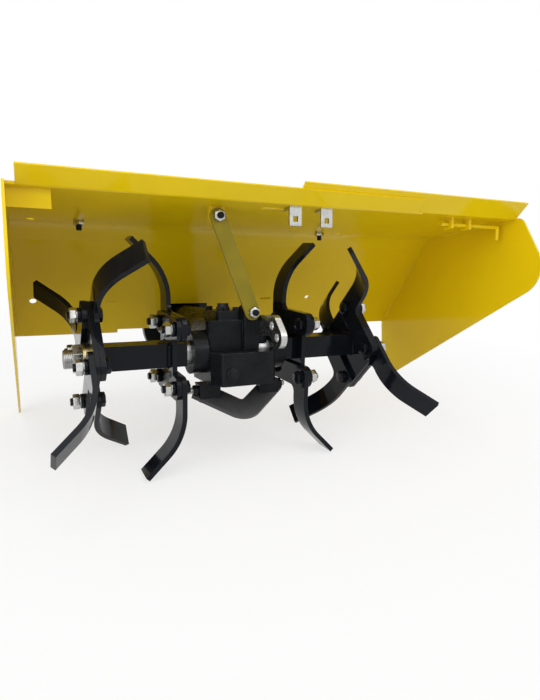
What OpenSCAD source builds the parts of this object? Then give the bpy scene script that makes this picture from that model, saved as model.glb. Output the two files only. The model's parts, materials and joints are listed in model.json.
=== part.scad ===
// Rotavator attachment for a two-wheel tractor: a folded hood with one extension wing,
// over a rotor of bent blades that a gear case in the middle drives.
// Machine frame: X along the rotor shaft, Y forwards to the tractor, Z up, origin on the shaft.
// The finished machine is parked: it leans on its rotor and on the front corners of its side plates.

/* [Rotor] */
// Distance from the shaft to the end of a blade, along the blade
tip_r = 145; // [135:1:160]
// Distance from the middle to an inner blade
inner_x = 81; // [78:1:100]
// Distance from the middle to an outer blade plate
outer_x = 182; // [175:1:195]
// Direction of the first outer blade, from upright towards the rear
outer_turn = 44; // [30:1:50]
// Width of a blade
blade_w = 30; // [24:1:36]
// Thickness of a blade
blade_t = 6; // [4:0.5:8]
// Inner radius of a blade's sideways bend
bend_r = 70; // [50:1:80]
// Angle of a blade's sideways bend
bend_a = 45; // [35:1:60]
// Straight end of a blade past its bend
tip_len = 35; // [25:1:42]
// Radius of a blade bolt hole
bolt_r = 5.5; // [4:0.5:6.5]
// Width of the square rotor tube
tube_w = 30; // [28:1:34]
// Thickness of a blade plate
plate_t = 6; // [4:0.5:8]
// Radius of the shaft in its bearings
shaft_r = 15; // [13:0.5:16]
// Radius of the shaft inside the tubes
spindle_r = 11; // [9:0.5:12]

/* [Hood] */
// Half width of the middle hood
hood_half = 264; // [255:1:300]
// Thickness of the hood sheet
sheet_t = 2.5; // [2:0.5:4]
// Distance of the hood's rear fold over the turning blades
rear_gap = 31; // [28:1:45]
// Distance of the rear fold behind the shaft
rear_y = 60; // [40:1:75]
// Distance of the ceiling's front end before the shaft
knee_y = 132; // [110:1:140]
// How far the ceiling falls to its front end
ceiling_drop = 15; // [8:1:18]
// Distance of the front fold before the ceiling's front end
fold_run = 22; // [18:1:40]
// How far the front fold lies under the ceiling's front end
fold_drop = 21; // [16:1:30]
// Distance of the front panel's lower edge before the front fold
panel_run = 108; // [100:1:125]
// Height of the front panel's lower edge
hem_z = 5; // [0:1:12]
// How far the rear lip leans back
lip_run = 17; // [14:1:30]
// How far the rear lip rises
lip_rise = 17; // [14:1:28]
// How far the lip stops short of the hood's ends
lip_cut = 9; // [6:1:20]
// Half width of the raised middle of the lower edge
step_half = 109; // [90:1:140]
// Rise of the middle of the lower edge
step_rise = 6; // [3:1:10]

/* [Wing and side plates] */
// Distance of the wing's inner end from the middle
wing_start = 62; // [50:1:90]
// Distance of the wing's outer end from the middle
wing_end = 455; // [400:1:480]
// How much longer the wing's lip is than the hood's
wing_lip = 8; // [4:1:18]
// Thickness of a side plate
side_t = 3; // [2:0.5:5]
// Distance of a side plate's rear corner behind the shaft
side_rear_y = 125; // [115:1:140]
// Height of a side plate's rear corner
side_rear_z = 96; // [85:1:110]
// Radius of a side plate's rear corner
side_rear_r = 45; // [30:1:50]
// Length of the flat that a side plate stands on
foot_len = 14; // [8:1:24]
// Lean of the parked machine, nose down
park_pitch = 7; // [5.5:0.5:11]

/* [Gear case] */
// Half width of the gear case
case_half = 45; // [42:1:56]
// Half width of the case's rear face
nose_half = 35; // [30:1:38]
// Distance of the case's rear face behind the shaft
case_rear = 50; // [44:1:54]
// Distance of the case's front face before the shaft
case_front = 45; // [40:1:55]
// Depth of the case's floor under the shaft
case_floor = 40; // [36:1:46]
// Height of the joint between the case halves
split_z = 2; // [0:1:8]
// Height of the upper case over the shaft
worm_top = 41; // [38:1:48]
// Thickness of the cover on the upper case
cover_t = 12; // [8:1:16]
// Radius of the drive neck
neck_r = 38; // [34:1:39]
// Height of the drive neck's axis
neck_z = 12; // [6:1:14]
// Distance of the coupling flange's rear face before the shaft
flange_y = 270; // [266:1:300]
// Thickness of the coupling flange
flange_t = 14; // [10:1:18]
// Radius of the coupling flange
flange_r = 62; // [58:1:68]
// Radius of the circle of coupling bolts
flange_bolt_pcr = 50; // [48:1:52]
// Radius of a coupling bolt hole
flange_bolt_r = 5.5; // [4:0.5:6.5]
// Radius of the coupling spigot
spigot_r = 40; // [36:0.5:42]
// Length of the coupling spigot
spigot_len = 14; // [10:1:16]
// Radius of the input shaft
input_r = 12; // [10:0.5:14]
// Radius of a hole in the drag bar lug
drag_bore_r = 5.5; // [4:0.5:6.5]
// Thickness of the drag bar lug
drag_t = 8; // [5:0.5:10]

/* [Hidden] */
$fn = 64;
overrun = 1;
corner_steps = 6;
bend_steps = 18;
bend_from_r = 25;
seat_gap = 0.3;
running_gap = 0.1;
end_round_share = 0.97;
half_turn = 180;
quarter_turn = 90;

yellow = [0.93, 0.76, 0.06];
black = [0.07, 0.07, 0.08];
zinc = [0.76, 0.76, 0.74];
brass_zinc = [0.72, 0.62, 0.33];
olive = [0.62, 0.56, 0.20];
steel = [0.35, 0.36, 0.38];

// Blade shape
bolt_off = tube_w / sqrt(2) + blade_w / 2 + seat_gap;
root_half = bolt_off + blade_w / 2;
root_low = bolt_off - blade_w / 2;
sweep_r = norm([tip_r, root_half]);
root_corner_r = blade_w / 3;
plate_inset = 0.5;
bend_start = tip_r - (bend_r + blade_t) * sin(bend_a) - tip_len * cos(bend_a);

// Parked rotor: an inner and an outer blade stand on the floor by these corners
inner_low = tip_corner(half_turn, blade_w - root_half);
outer_low = tip_corner(half_turn + outer_turn, -root_half);
rotor_lean = atan((inner_low[1] - outer_low[1]) / (inner_low[0] - outer_low[0]));
rotor_turn = park_pitch - rotor_lean;
floor_drop = inner_low[0] * sin(rotor_lean) - inner_low[1] * cos(rotor_lean);

// Hood section
rear_z = sweep_r + rear_gap;
knee_z = rear_z - ceiling_drop;
fold_y = knee_y + fold_run;
fold_z = knee_z - fold_drop;
hem_y = fold_y + panel_run;
hood_line = [
    [-rear_y - lip_run, rear_z + lip_rise],
    [-rear_y, rear_z],
    [knee_y, knee_z],
    [fold_y, fold_z],
    [hem_y, hem_z]
];
lip_fold_r = 6;
knee_r = 40;
front_fold_r = 30;
fold_radii = [0, lip_fold_r, knee_r, front_fold_r, 0];
lip_dir = [-lip_run, lip_rise] / norm([lip_run, lip_rise]);
wing_line = concat([hood_line[0] + lip_dir * wing_lip], [for (i = [1:4]) hood_line[i]]);
panel_dir = (hood_line[4] - hood_line[3]) / norm(hood_line[4] - hood_line[3]);
panel_out = [-panel_dir[1], panel_dir[0]];
panel_tilt = atan2(panel_out[1], panel_out[0]);
ceiling_tilt = atan2(knee_z - rear_z, knee_y + rear_y);
notch_gap = 2;
notch_half = neck_r + notch_gap;
notch_top = neck_z + neck_r + 2 * notch_gap;

// Hood holes: open holes near both ends, slots nearer the middle
sheet_hole_r = 5;
sheet_hole_x = 238;
ceiling_hole_y = 112;
panel_hole_share = 0.61;
slot_xs = [-124, 150];
slot_half = 8;
slot_r = 2.5;

// Side plate outline
side_margin = 10;
side_top_z = rear_z + 2 * sheet_t;
side_corner_r = 14;

// Rotor stack along the shaft
seal_len = 19;
seal_r = 28;
rotor_gap = 6;
tube_start = case_half + seal_len + rotor_gap;
inner_plate_x = inner_x + blade_t;
tube_end = outer_x + plate_t;
tube_bore_r = spindle_r + seat_gap;
washer_t = 6;
washer_r = 17;
nut_t = 11;
nut_r = 17;
stud_out = 10;

// Upper case
worm_rear = 20;
worm_front = 75;
block_right = 8;
nose_run = 18;
case_corner_r = 7;
cover_inset = 3;
cover_left = -30;
right_top = 36;
cap_r = 9;
cap_t = 9;
cap_x = -13;
cap_y = 8;
drain_r = 8;
drain_t = 6;
drain_x = -23;
drain_z = -24;

// Strut between the hood's ceiling and the upper case
strut_w = 20;
strut_t = 4;
strut_y = -26;
strut_top_x = -32;
strut_drop = 12;
strut_foot_x = 14;
strut_foot_z = 51;
strut_hole_r = 4.25;
ear_w = 20;
ear_t = 5;

// Drag bar lug
drag_r = 13;
drag_root = [case_corner_r - worm_rear - drag_r - seat_gap, 34];
drag_hole_a = [-64, 36];
drag_hole_b = [-78, 22];

// Centre share under the case
share_tilt = 41;
share_w = 28;
share_t = 6;
share_half = 56;
share_reach = 54;
share_end = 10;
share_y = 2;
share_hole_r = 5;

// Saddle that joins the front panel to the neck
saddle_half = 60;
saddle_t = 5;
saddle_top_share = 0.36;
saddle_low_share = 0.95;

// Hinge pieces of the rear flap
bracket_w = 42;
bracket_len = 46;
bracket_h = 20;
bracket_t = 2.5;
bracket_y = -52;
clip_xs = [63, 109];
clip_w = 17;
clip_h = 24;
clip_t = 3;
clip_hole_w = 7;
ear_from_hood = 72;
ear_apart = 36;
ear_xs = [hood_half + ear_from_hood, hood_half + ear_from_hood + ear_apart];
flap_ear_h = 16;
flap_ear_t = 4;
flap_ear_y = -38;
rod_r = 3;
rod_drop = 9;
rod_tail = 20;

// Input shaft
recess_r = 30;
recess_floor = 6;
head_r = 24;
head_gap = 6;
head_len = 10;
head_slot_w = 9;
head_slot_d = 5;
input_len = 62;
spigot_y = flange_y + flange_t + spigot_len;

sides = ["left", "right"];
inner_dirs = [0, half_turn];
outer_dirs = [for (k = [0:3]) outer_turn + k * quarter_turn];
inner_blades = [for (s = sides) for (k = [1:2]) str(s, "_inner_blade_", k)];
outer_blades = [for (s = sides) for (k = [1:4]) str(s, "_outer_blade_", k)];

// Corner of a blade's end, for a blade in direction turn, at distance t along the turn
function tip_corner(turn, t) = [
    -tip_r * sin(turn) - t * cos(turn),
    tip_r * cos(turn) - t * sin(turn)
];

// Height of the floor under a point y of the parked machine, in the machine frame
function floor_z(y) = (y * sin(park_pitch) - floor_drop) / cos(park_pitch);

// Height of the ceiling's underside at y
function ceiling_z(y) = rear_z + (y + rear_y) * tan(ceiling_tilt);

// Height of the strut's upper bolt
function strut_top_z() = ceiling_z(strut_y) - strut_drop;

function unit(v) = v / norm(v);
function left_of(v) = [-v[1], v[0]];
function turned(a, b) = sign(a[0] * b[1] - a[1] * b[0]);
function last(list) = len(list) - 1;
function backwards(list) = [for (i = [last(list):-1:0]) list[i]];

// Direction into and out of point i of a line
function dir_in(pts, i) = i > 0 ? unit(pts[i] - pts[i - 1]) : unit(pts[1] - pts[0]);
function dir_out(pts, i) = i < last(pts) ? unit(pts[i + 1] - pts[i]) : dir_in(pts, i);

// A line moved sideways by d, with its corners kept sharp
function shifted(pts, d) = [
    for (i = [0:last(pts)])
        let (a = left_of(dir_in(pts, i)), b = left_of(dir_out(pts, i)), n = unit(a + b))
            pts[i] + n * d / (n * a)
];

// Fold radii of that moved line
function shifted_radii(pts, radii, d) = [
    for (i = [0:last(pts)])
        radii[i] == 0 ? 0 : radii[i] - d * turned(dir_in(pts, i), dir_out(pts, i))
];

// The arc that replaces corner b between a and c, finer on a wide bend
function arc_steps(r) = r < bend_from_r ? corner_steps : bend_steps;
function corner_arc(a, b, c, r) =
    let (u = unit(a - b), v = unit(c - b), half = acos(u * v) / 2, n = arc_steps(r))
    let (centre = b + unit(u + v) * r / sin(half))
    let (from = b + u * r / tan(half) - centre, to = b + v * r / tan(half) - centre)
    let (start = atan2(from[1], from[0]), sweep = turned(from, to) * acos(unit(from) * unit(to)))
        [for (k = [0:n]) centre + r * [cos(start + sweep * k / n), sin(start + sweep * k / n)]];

// A closed outline with its corners rounded, where a radius of zero keeps the corner
function rounded(pts, radii) = [
    for (i = [0:last(pts)])
        each radii[i] == 0 ? [pts[i]]
            : corner_arc(pts[(i + last(pts)) % len(pts)], pts[i], pts[(i + 1) % len(pts)], radii[i])
];

// Section of a folded sheet between two distances from a line
function sheet_section(pts, radii, d0, d1) = rounded(
    concat(shifted(pts, d0), backwards(shifted(pts, d1))),
    concat(shifted_radii(pts, radii, d0), backwards(shifted_radii(pts, radii, d1)))
);

// Lean of the parked machine, about the middle of the coupling spigot
module parked() {
    rotate([-park_pitch, 0, 0])
        translate([0, -spigot_y, -neck_z])
            children();
}

// Rotor pieces, turned to stand on their blades
module on_rotor() {
    parked() rotate([rotor_turn, 0, 0]) children();
}

// The left side is the right side mirrored
module on_side(side) {
    mirror([side == "left" ? 1 : 0, 0, 0]) children();
}

// A section in Y and Z, drawn out along X
module along_x(x0, x1) {
    translate([x0, 0, 0]) rotate([90, 0, 90]) linear_extrude(x1 - x0) children();
}

// A section in X and Z, drawn out forwards along Y
module along_y(y0, y1) {
    translate([0, y1, 0]) rotate([90, 0, 0]) linear_extrude(y1 - y0) children();
}

// A round bar along X
module bar_x(x0, x1, r) {
    translate([x0, 0, 0]) rotate([0, 90, 0]) cylinder(h = x1 - x0, r = r);
}

// A round bar along Y
module bar_y(y0, y1, r) {
    translate([0, y0, 0]) rotate([-90, 0, 0]) cylinder(h = y1 - y0, r = r);
}

// A flat bar's outline between two points, with round ends
module strap(a, b, r) {
    ahead = unit(b - a) * r;
    aside = left_of(unit(b - a)) * r;
    end_r = r * end_round_share;
    polygon(rounded(
        [a - ahead + aside, a - ahead - aside, b + ahead - aside, b + ahead + aside],
        [end_r, end_r, end_r, end_r]
    ));
}

// Holes through the ceiling and the front panel
module ceiling_cut(x) {
    translate([x, ceiling_hole_y, ceiling_z(ceiling_hole_y)])
        rotate([ceiling_tilt, 0, 0])
            translate([0, 0, -overrun]) linear_extrude(2 * sheet_t + 2 * overrun) children();
}

module panel_cut(x) {
    at = hood_line[3] + (hood_line[4] - hood_line[3]) * panel_hole_share;
    translate([x, at[0], at[1]])
        rotate([panel_tilt - 90, 0, 0])
            translate([0, 0, -overrun]) linear_extrude(2 * sheet_t + 2 * overrun) children();
}

module slot_outline() {
    strap([-slot_half, 0], [slot_half, 0], slot_r);
}

module hood_centre() {
    color(yellow) parked() difference() {
        along_x(-hood_half, hood_half) polygon(sheet_section(hood_line, fold_radii, 0, sheet_t));
        for (s = sides) on_side(s) {
            translate([hood_half - lip_cut, -rear_y - lip_run - sheet_t - overrun, rear_z - sheet_t])
                cube([lip_cut + overrun, lip_run + sheet_t + overrun, lip_rise + 3 * sheet_t]);
            ceiling_cut(sheet_hole_x) circle(sheet_hole_r);
            panel_cut(sheet_hole_x) circle(sheet_hole_r);
        }
        for (x = slot_xs) {
            ceiling_cut(x) slot_outline();
            panel_cut(x) slot_outline();
        }
        translate([-step_half, fold_y, hem_z - sheet_t - overrun])
            cube([2 * step_half, hem_y, step_rise + sheet_t + overrun]);
        translate([-notch_half, fold_y, hem_z - sheet_t - overrun])
            cube([2 * notch_half, hem_y, notch_top - hem_z + sheet_t + overrun]);
    }
}

module hood_wing() {
    color(yellow) parked() difference() {
        along_x(wing_start, wing_end)
            polygon(sheet_section(wing_line, fold_radii, sheet_t, 2 * sheet_t));
        ceiling_cut(sheet_hole_x) circle(sheet_hole_r);
        panel_cut(sheet_hole_x) circle(sheet_hole_r);
    }
}

module side_outline() {
    hem_out = hood_line[4] + panel_out * side_margin;
    polygon(rounded([
        [-rear_y - side_margin, side_top_z],
        [-side_rear_y, side_rear_z],
        [hem_y - foot_len, floor_z(hem_y - foot_len)],
        [hem_y, floor_z(hem_y)],
        [hem_out[0], hem_out[1]],
        hood_line[3] + panel_out * side_margin,
        [knee_y, knee_z + side_margin]
    ], [side_corner_r, side_rear_r, 0, 0, 0, front_fold_r, knee_r]));
}

module left_side_plate() {
    color(yellow) parked() along_x(-hood_half - side_t, -hood_half) side_outline();
}

module right_side_plate() {
    color(yellow) parked() along_x(wing_end, wing_end + side_t) side_outline();
}

// Under the ceiling: a strip of depth h between two distances from the shaft
module ceiling_strip(y0, y1, h) {
    polygon([
        [y0, ceiling_z(y0)], [y1, ceiling_z(y1)],
        [y1, ceiling_z(y1) - h], [y0, ceiling_z(y0) - h]
    ]);
}

module corner_bracket() {
    y1 = bracket_y + bracket_len;
    color(yellow) parked() {
        along_x(-hood_half, -hood_half + bracket_w) ceiling_strip(bracket_y, y1, bracket_t);
        along_x(-hood_half, -hood_half + bracket_t) ceiling_strip(bracket_y, y1, bracket_h);
        along_x(-hood_half, -hood_half + bracket_w)
            ceiling_strip(bracket_y, bracket_y + bracket_t, bracket_h);
    }
}

module lip_clips() {
    color(zinc) parked()
        for (x = clip_xs) {
            along_x(x - clip_w / 2, x + clip_w / 2)
                ceiling_strip(-rear_y + lip_fold_r, -rear_y + lip_fold_r + clip_w, clip_t);
            difference() {
                along_x(x - clip_w / 2, x + clip_w / 2)
                    ceiling_strip(-rear_y + lip_fold_r, -rear_y + lip_fold_r + clip_t, clip_h);
                translate([x, -rear_y + lip_fold_r + clip_t / 2, ceiling_z(-rear_y) - clip_h * 2 / 3])
                    cube([clip_hole_w, 2 * clip_t, clip_hole_w], center = true);
            }
        }
}

// Underside of the wing, one sheet over the hood's line
function wing_z(y) = ceiling_z(y) + sheet_t / cos(ceiling_tilt);
function rod_z() = wing_z(flap_ear_y) - rod_drop;

module flap_ears() {
    color(yellow) parked()
        for (x = ear_xs)
            difference() {
                along_x(x - flap_ear_t / 2, x + flap_ear_t / 2)
                    translate([0, wing_z(0) - ceiling_z(0)])
                        ceiling_strip(flap_ear_y - flap_ear_h / 2, flap_ear_y + flap_ear_h / 2, flap_ear_h);
                translate([0, flap_ear_y, rod_z()])
                    bar_x(x - flap_ear_t, x + flap_ear_t, rod_r + seat_gap);
            }
}

module flap_rod() {
    rod_start = ear_xs[0] - flap_ear_h;
    rod_end = wing_end - flap_ear_h;
    color(yellow) parked() translate([0, flap_ear_y, rod_z()]) {
        bar_x(rod_start, rod_end, rod_r);
        translate([rod_end, 0, 0]) sphere(rod_r);
        translate([rod_end, 0, -rod_tail]) cylinder(h = rod_tail, r = rod_r);
    }
}

module strut_lug() {
    color(yellow) parked() difference() {
        intersection() {
            along_x(strut_top_x - ear_w / 2, strut_top_x + ear_w / 2)
                ceiling_strip(strut_y, strut_y + ear_t, strut_drop + ear_w / 2);
            along_y(strut_y, strut_y + ear_t) {
                translate([strut_top_x, strut_top_z()]) circle(ear_w / 2);
                translate([strut_top_x - ear_w / 2, strut_top_z()]) square([ear_w, 2 * strut_drop]);
            }
        }
        translate([strut_top_x, 0, strut_top_z()])
            bar_y(strut_y - overrun, strut_y + ear_t + overrun, strut_hole_r);
    }
}

module hood_strut() {
    top = [strut_top_x, strut_top_z()];
    foot = [strut_foot_x, strut_foot_z];
    color(olive) parked() difference() {
        along_y(strut_y - strut_t, strut_y) strap(top, foot, strut_w / 2);
        for (p = [top, foot])
            translate([p[0], 0, p[1]])
                bar_y(strut_y - strut_t - overrun, strut_y + overrun, strut_hole_r);
    }
}

module hood_saddle() {
    from = hood_line[3] + (hood_line[4] - hood_line[3]) * saddle_top_share;
    to = hood_line[3] + (hood_line[4] - hood_line[3]) * saddle_low_share;
    on_sheet = panel_out * sheet_t;
    on_top = panel_out * (sheet_t + saddle_t);
    color(black) parked() difference() {
        along_x(-saddle_half, saddle_half)
            polygon([from + on_sheet, to + on_sheet, to + on_top, from + on_top]);
        translate([0, 0, neck_z]) bar_y(0, flange_y, neck_r + seat_gap);
    }
}

// Outline of the case in X and Y
module case_outline(x0, x1, y0, y1, r) {
    polygon(rounded([[x0, y0], [x1, y0], [x1, y1], [x0, y1]], [r, r, r, r]));
}

// The lower case is narrower at its rear face
module nose_outline() {
    r = case_corner_r;
    polygon(rounded([
        [-nose_half, -case_rear], [nose_half, -case_rear], [case_half, nose_run - case_rear],
        [case_half, case_front], [-case_half, case_front], [-case_half, nose_run - case_rear]
    ], [r, r, r, r, r, r]));
}

module shaft_hole(r) {
    bar_x(-case_half - overrun, case_half + overrun, r);
}

// Wedges under the case that the centre share is bolted to
module share_wedge() {
    low = case_floor + (share_y + case_floor / 2) * tan(share_tilt);
    polygon([[share_y, -case_floor], [-case_floor / 2, -case_floor], [-case_floor / 2, -low]]);
}

module gear_case() {
    color(black) parked() difference() {
        union() {
            translate([0, 0, -case_floor])
                linear_extrude(case_floor + split_z) nose_outline();
            for (s = sides) on_side(s)
                along_x(share_half - share_w, share_half) share_wedge();
        }
        shaft_hole(shaft_r + seat_gap);
    }
}

module worm_outline() {
    right_rear = worm_rear - case_corner_r;
    polygon(rounded([
        [-case_half, -worm_rear], [block_right, -worm_rear], [block_right, -right_rear],
        [case_half, -right_rear], [case_half, case_front], [neck_r, worm_front],
        [-neck_r, worm_front], [-case_half, case_front]
    ], [case_corner_r, case_corner_r, 0, case_corner_r, case_corner_r, 0, 0, case_corner_r]));
}

module worm_case() {
    color(black) parked() difference() {
        union() {
            translate([0, 0, split_z]) linear_extrude(right_top - split_z) worm_outline();
            translate([0, 0, split_z])
                linear_extrude(worm_top - split_z)
                    case_outline(-case_half, block_right, -worm_rear, case_front, case_corner_r);
            translate([0, 0, worm_top])
                linear_extrude(cover_t)
                    case_outline(cover_left, block_right - cover_inset,
                        -worm_rear + cover_inset, case_front - cover_inset, case_corner_r);
            translate([0, 0, neck_z]) bar_y(case_front, flange_y, neck_r);
            along_y(strut_y, strut_y + ear_t + worm_rear) {
                translate([strut_foot_x, strut_foot_z]) circle(ear_w / 2);
                translate([strut_foot_x - ear_w / 2, split_z]) square([ear_w, strut_foot_z - split_z]);
            }
        }
        shaft_hole(shaft_r + seat_gap);
        translate([strut_foot_x, 0, strut_foot_z])
            bar_y(strut_y - overrun, strut_y + ear_t + worm_rear + overrun, strut_hole_r);
        translate([0, 0, neck_z])
            bar_y(spigot_y - input_len - overrun, flange_y + overrun, input_r + seat_gap);
    }
}

module filler_cap() {
    color(black) parked() translate([cap_x, cap_y, worm_top + cover_t]) {
        cylinder(h = cap_t / 2, r = cap_r);
        translate([0, 0, cap_t / 2]) cylinder(h = cap_t / 2, r = cap_r - cover_inset / 2);
    }
}

module drain_plug() {
    color(black) parked() translate([drain_x, 0, drain_z]) {
        bar_y(-case_rear - drain_t / 2, -case_rear, drain_r);
        bar_y(-case_rear - drain_t, -case_rear - drain_t / 2, drain_r - cover_inset);
    }
}

module seal_cap(side) {
    color(black) parked() on_side(side) difference() {
        bar_x(case_half, case_half + seal_len, seal_r);
        bar_x(case_half - overrun, case_half + seal_len + overrun, shaft_r + running_gap);
    }
}

module drag_lug() {
    x0 = strut_foot_x + ear_w / 2 + seat_gap;
    color(zinc) parked() difference() {
        along_x(x0, x0 + drag_t) {
            strap(drag_root, drag_hole_a, drag_r);
            strap(drag_hole_a, drag_hole_b, drag_r);
        }
        for (p = [drag_hole_a, drag_hole_b])
            translate([0, p[0], p[1]]) bar_x(x0 - overrun, x0 + drag_t + overrun, drag_bore_r);
    }
}

module centre_share() {
    line = [[-share_half, share_end], [0, share_reach], [share_half, share_end]];
    bends = [0, share_w * 2 / 3, 0];
    color(black) parked()
        translate([0, share_y, -case_floor])
            rotate([share_tilt, 0, 0])
                mirror([0, 1, 0])
                    difference() {
                        translate([0, 0, -share_t])
                            linear_extrude(share_t)
                                polygon(sheet_section(line, bends, -share_w / 2, share_w / 2));
                        for (p = [line[0], line[2]])
                            translate([p[0] * (1 - share_end / share_half), p[1] * 2, -share_t - overrun])
                                cylinder(h = share_t + 2 * overrun, r = share_hole_r);
                    }
}

module coupling_flange() {
    color(black) parked() translate([0, 0, neck_z]) difference() {
        union() {
            bar_y(flange_y, flange_y + flange_t, flange_r);
            bar_y(flange_y + flange_t, spigot_y, spigot_r);
        }
        bar_y(flange_y - overrun, spigot_y, input_r + running_gap);
        bar_y(flange_y + recess_floor, spigot_y + overrun, recess_r);
        for (k = [0:3])
            rotate([0, 45 + quarter_turn * k, 0])
                translate([flange_bolt_pcr, 0, 0])
                    bar_y(flange_y - overrun, flange_y + flange_t + overrun, flange_bolt_r);
    }
}

module input_shaft() {
    head_start = flange_y + recess_floor + head_gap;
    color(steel) parked() translate([0, 0, neck_z]) difference() {
        union() {
            bar_y(spigot_y - input_len, head_start, input_r);
            bar_y(head_start, head_start + head_len, head_r);
        }
        for (k = [0:1])
            rotate([0, quarter_turn * k, 0])
                translate([-head_r - overrun, head_start + head_len - head_slot_d, -head_slot_w / 2])
                    cube([2 * head_r + 2 * overrun, head_slot_d + overrun, head_slot_w]);
    }
}

module rotor_shaft() {
    stud_end = tube_end + washer_t + nut_t + stud_out;
    color(steel) on_rotor() {
        bar_x(-tube_start, tube_start, shaft_r);
        bar_x(-stud_end, stud_end, spindle_r);
    }
}

module rotor_tube(side) {
    color(black) on_rotor() on_side(side) difference() {
        translate([tube_start, -tube_w / 2, -tube_w / 2])
            cube([tube_end - tube_start, tube_w, tube_w]);
        bar_x(tube_start - overrun, tube_end + overrun, tube_bore_r);
    }
}

// A square pattern of bolts round the tube, and the hole for the tube
module plate_holes() {
    for (y = [-bolt_off, bolt_off])
        for (z = [-bolt_off, bolt_off])
            translate([y, z]) circle(bolt_r);
}

// Two bolt rows on either side of the tube, with the web between them
module inner_outline() {
    for (z = [-bolt_off, bolt_off])
        strap([-bolt_off, z], [bolt_off, z], blade_w / 2 - plate_inset);
    square([2 * bolt_off - blade_w / 2, 2 * bolt_off], center = true);
}

module outer_outline() {
    half = root_half - plate_inset;
    polygon(rounded(
        [[-half, -half], [half, -half], [half, half], [-half, half]],
        [root_corner_r, root_corner_r, root_corner_r, root_corner_r]
    ));
}

module inner_plate(side) {
    color(black) on_rotor() on_side(side)
        along_x(inner_plate_x, inner_plate_x + plate_t)
            difference() {
                inner_outline();
                plate_holes();
                square(tube_w, center = true);
            }
}

module outer_plate(side) {
    color(black) on_rotor() on_side(side)
        along_x(outer_x, outer_x + plate_t)
            difference() {
                rotate(outer_turn) outer_outline();
                rotate(outer_turn) plate_holes();
                square(tube_w, center = true);
            }
}

module end_nut(side) {
    color(brass_zinc) on_rotor() on_side(side) difference() {
        union() {
            bar_x(tube_end, tube_end + washer_t, washer_r);
            translate([tube_end + washer_t, 0, 0])
                rotate([0, 90, 0]) cylinder(h = nut_t, r = nut_r, $fn = 6);
        }
        bar_x(tube_end - overrun, tube_end + washer_t + nut_t + overrun, spindle_r + seat_gap);
    }
}

// An upright blade whose flat root stands on X = 0 and whose end bends towards +X:
// a bent strip, cut to the outline of its root
module blade() {
    outer_bend_r = bend_r + blade_t;
    corner = [0, bend_start + outer_bend_r * tan(bend_a / 2)];
    end_len = outer_bend_r * tan(bend_a / 2) + tip_len;
    strip = [[0, root_low], corner, corner + end_len * [sin(bend_a), cos(bend_a)]];
    difference() {
        intersection() {
            along_y(-root_half, root_half)
                polygon(sheet_section(strip, [0, outer_bend_r, 0], -blade_t, 0));
            along_x(-overrun, tip_r)
                polygon(rounded([
                    [-root_half, root_low], [root_half, root_low],
                    [root_half, tip_r + overrun], [root_half - blade_w, tip_r + overrun],
                    [root_half - blade_w, root_half], [-root_half, root_half]
                ], [root_corner_r, root_corner_r, 0, 0, root_corner_r, root_corner_r]));
        }
        for (y = [-bolt_off, bolt_off])
            translate([0, y, bolt_off]) bar_x(-overrun, blade_t + overrun, bolt_r);
    }
}

// A blade in its direction, bent outwards or towards the middle
module set_blade(side, x, turn, outwards) {
    color(black) on_rotor() on_side(side)
        rotate([turn, 0, 0])
            translate([outwards ? x : x + blade_t, 0, 0])
                mirror([outwards ? 0 : 1, 0, 0])
                    blade();
}

module inner_blade(side, k) {
    set_blade(side, inner_x, inner_dirs[k], true);
}

// Opposite outer blades share a face of their plate: two bend towards the middle, two outwards
module outer_blade(side, k) {
    x = k % 2 == 0 ? outer_x - blade_t : outer_x + plate_t;
    set_blade(side, x, outer_dirs[k], k % 2 == 1);
}

hood_centre();
hood_wing();
left_side_plate();
right_side_plate();
corner_bracket();
lip_clips();
flap_ears();
flap_rod();
strut_lug();
hood_strut();
hood_saddle();
gear_case();
worm_case();
filler_cap();
drain_plug();
seal_cap("left");  // left_seal_cap
seal_cap("right");  // right_seal_cap
drag_lug();
centre_share();
coupling_flange();
input_shaft();
rotor_shaft();
rotor_tube("left");  // left_tube
rotor_tube("right");  // right_tube
inner_plate("left");  // left_inner_plate
inner_plate("right");  // right_inner_plate
outer_plate("left");  // left_outer_plate
outer_plate("right");  // right_outer_plate
end_nut("left");  // left_end_nut
end_nut("right");  // right_end_nut
for (s = sides) {
    for (k = [0:1])
        inner_blade(s, k);
    for (k = [0:3])
        outer_blade(s, k);
}
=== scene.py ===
# %% [markdown]
# # A rotavator attachment, finished in Blender
# The machine is a folded yellow hood over a rotor of bent black blades, with a gear case in the middle.
# All load-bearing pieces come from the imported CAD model, which is the fixed frame of this scene.
# We add the small hardware and the finishes, and never move or change the CAD meshes.

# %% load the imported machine
import json
import math

import bmesh
import bpy
from mathutils import Matrix, Vector


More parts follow.
